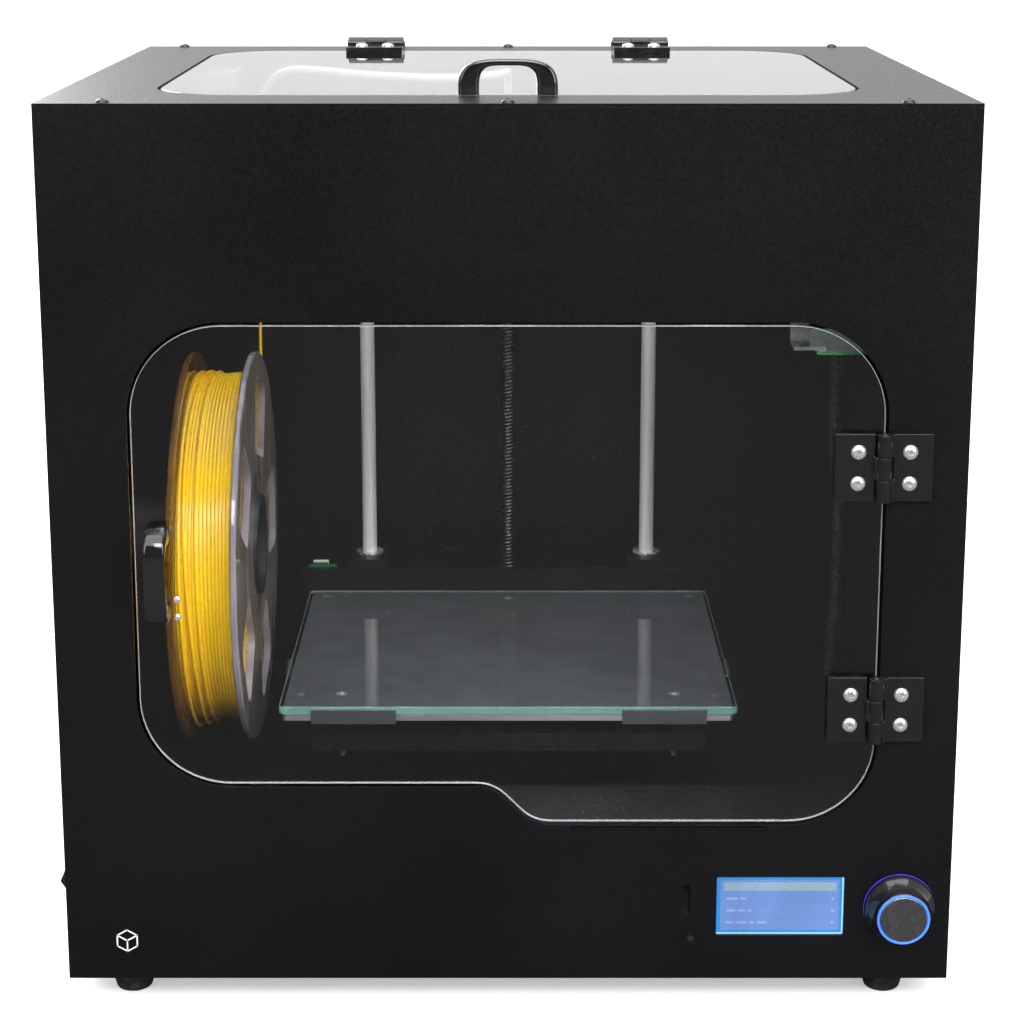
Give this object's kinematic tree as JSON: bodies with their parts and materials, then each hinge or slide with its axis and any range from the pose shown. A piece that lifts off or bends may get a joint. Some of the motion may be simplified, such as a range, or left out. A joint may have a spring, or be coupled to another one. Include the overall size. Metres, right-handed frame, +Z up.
{
  "type": "fdm printer",
  "caption": "Enclosed desktop filament printer: hinged clear door and lid, glass-topped heated bed on a lead screw, overhead gantry and spool inside.",
  "frame": {"origin": "under the middle of the machine, on the surface it stands on", "axes": "+X to the machine's right seen from the front, +Y to its back, +Z up"},
  "size_m": [0.4065, 0.3468, 0.4275],
  "materials": {
    "black_steel": "fine textured powder coat",
    "clear_acrylic": "clear polished sheet",
    "bed_glass": "clear float glass with a green edge",
    "black_plastic": "satin moulded",
    "gloss_black": "glossy",
    "rubber": "matt",
    "bright_steel": "bright",
    "chrome_rod": "ground and hard chromed",
    "aluminium": "brushed",
    "brass": "turned",
    "screen": "back-lit",
    "green_board": "solder-masked board",
    "yellow_filament": "smooth extruded",
    "clear_spool": "smoky clear moulding",
    "cream_tube": "satin",
    "black_sleeve": "braided sleeve"
  },
  "bodies": {
    "frame": {"front_panel": "black_steel", "rear_panel": "black_steel", "left_panel": "black_steel", "right_panel": "black_steel", "top_panel": "black_steel", "base_plates": "black_steel", "display_cover": "black_steel", "rubber_feet": "rubber", "fixed_hinge_leaves": "black_plastic", "case_screws": "bright_steel", "display_unit": "screen", "power_inlet": "gloss_black", "main_board": "green_board", "power_supply": "aluminium", "guide_rods": "chrome_rod", "rod_clamps": "black_plastic", "frame_motors": "black_steel", "y_belts": "rubber", "light_board": "green_board", "wire_loom": "black_sleeve", "spool_holder": "black_plastic", "filament_run": "cream_tube"},
    "door": {"door_pane": "clear_acrylic", "door_handle": "gloss_black", "door_hinge_leaves": "black_plastic", "door_screws": "bright_steel"},
    "lid": {"lid_pane": "clear_acrylic", "lid_handle": "gloss_black", "lid_hinge_leaves": "black_plastic", "lid_screws": "bright_steel"},
    "bed": {"bed_carriage": "black_steel", "bed_bearings": "bright_steel", "heat_bed": "aluminium", "glass_plate": "bed_glass", "bed_clips": "black_plastic", "level_screws": "bright_steel", "bed_connector": "green_board"},
    "wheel_1": {"thumb_wheel_1": "black_plastic"},
    "wheel_2": {"thumb_wheel_2": "black_plastic"},
    "wheel_3": {"thumb_wheel_3": "black_plastic"},
    "lead_screw": {"lead_screw": "bright_steel"},
    "gantry": {"gantry_ends": "black_plastic", "x_rods": "chrome_rod", "x_motor": "black_steel", "x_belt": "rubber"},
    "x_pulley": {"x_pulley": "aluminium"},
    "drive_shaft": {"drive_shaft": "bright_steel"},
    "head": {"head_carriage": "black_plastic", "feed_motor": "black_steel", "hot_end": "aluminium", "cooling_fans": "black_plastic"},
    "fan_rotor": {"fan_rotor": "black_plastic"},
    "feed_gear": {"feed_gear": "brass"},
    "idler_lever": {"idler_lever": "black_plastic"},
    "spool": {"spool": "clear_spool", "filament_winding": "yellow_filament"},
    "knob_shaft": {"knob_shaft": "bright_steel"},
    "knob": {"knob": "gloss_black"},
    "rocker": {"rocker_switch": "gloss_black"},
    "reset_button": {"reset_button": "black_plastic"}
  },
  "joints": [
    {"name": "door_hinge", "type": "hinge", "parent": "frame", "child": "door", "pos_m": [0.1627, -0.16085, 0.204], "axis": [0, 0, 1], "range_deg": [0, 150]},
    {"name": "lid_hinge", "type": "hinge", "parent": "frame", "child": "lid", "pos_m": [0, 0.14325, 0.4156], "axis": [-1, 0, 0], "range_deg": [0, 105]},
    {"name": "bed_lift", "type": "slide", "parent": "frame", "child": "bed", "axis": [0, 0, 1], "range_m": [0, 0.175]},
    {"name": "lead_screw_turn", "type": "hinge", "parent": "frame", "child": "lead_screw", "pos_m": [0, 0.12075, 0.064], "axis": [0, 0, 1], "continuous": true},
    {"name": "gantry_travel", "type": "slide", "parent": "frame", "child": "gantry", "axis": [0, 1, 0], "range_m": [-0.176, 0], "deforming": ["filament_run"]},
    {"name": "drive_shaft_turn", "type": "hinge", "parent": "frame", "child": "drive_shaft", "pos_m": [0, 0.14875, 0.357], "axis": [1, 0, 0], "continuous": true},
    {"name": "head_travel", "type": "slide", "parent": "gantry", "child": "head", "axis": [1, 0, 0], "range_m": [-0.1, 0.1], "deforming": ["filament_run"]},
    {"name": "x_pulley_turn", "type": "hinge", "parent": "gantry", "child": "x_pulley", "pos_m": [-0.165, 0.11875, 0.355], "axis": [0, 0, 1], "continuous": true},
    {"name": "fan_rotor_turn", "type": "hinge", "parent": "head", "child": "fan_rotor", "pos_m": [0, 0.06275, 0.3131], "axis": [0, 1, 0], "continuous": true},
    {"name": "feed_gear_turn", "type": "hinge", "parent": "head", "child": "feed_gear", "pos_m": [-0.0064, 0.08075, 0.3715], "axis": [0, 1, 0], "continuous": true},
    {"name": "idler_lever_tilt", "type": "hinge", "parent": "head", "child": "idler_lever", "pos_m": [0.012, 0.08075, 0.357], "axis": [0, 1, 0], "range_deg": [0, 14], "stiffness_Nm_per_rad": 0.5, "springref_deg": -11.46},
    {"name": "spool_turn", "type": "hinge", "parent": "frame", "child": "spool", "pos_m": [-0.147, 0.02675, 0.166], "axis": [1, 0, 0], "continuous": true},
    {"name": "knob_press", "type": "slide", "parent": "frame", "child": "knob_shaft", "axis": [0, 1, 0], "range_m": [0, 0.0006], "stiffness_N_per_m": 4000},
    {"name": "knob_turn", "type": "hinge", "parent": "knob_shaft", "child": "knob", "pos_m": [0.177, -0.16425, 0.049], "axis": [0, -1, 0], "continuous": true},
    {"name": "rocker_tilt", "type": "hinge", "parent": "frame", "child": "rocker", "pos_m": [-0.198, -0.13525, 0.057], "axis": [0, 1, 0], "range_deg": [-14, 0]},
    {"name": "reset_press", "type": "slide", "parent": "frame", "child": "reset_button", "axis": [0, 1, 0], "range_m": [0, 0.0004], "stiffness_N_per_m": 1500},
    {"name": "wheel_1_turn", "type": "hinge", "parent": "bed", "child": "wheel_1", "pos_m": [-0.081, -0.05925, 0.094], "axis": [0, 0, 1], "continuous": true},
    {"name": "wheel_2_turn", "type": "hinge", "parent": "bed", "child": "wheel_2", "pos_m": [0.081, -0.05925, 0.094], "axis": [0, 0, 1], "continuous": true},
    {"name": "wheel_3_turn", "type": "hinge", "parent": "bed", "child": "wheel_3", "pos_m": [0, 0.09275, 0.094], "axis": [0, 0, 1], "continuous": true}
  ],
  "couplings": [
    {"joint": "lead_screw_turn", "follows": "bed_lift", "rad_per_m": -1570.8},
    {"joint": "drive_shaft_turn", "follows": "gantry_travel", "rad_per_m": 155.04},
    {"joint": "x_pulley_turn", "follows": "head_travel", "rad_per_m": 155.04},
    {"joint": "feed_gear_turn", "follows": "spool_turn", "ratio": 14.203}
  ]
}
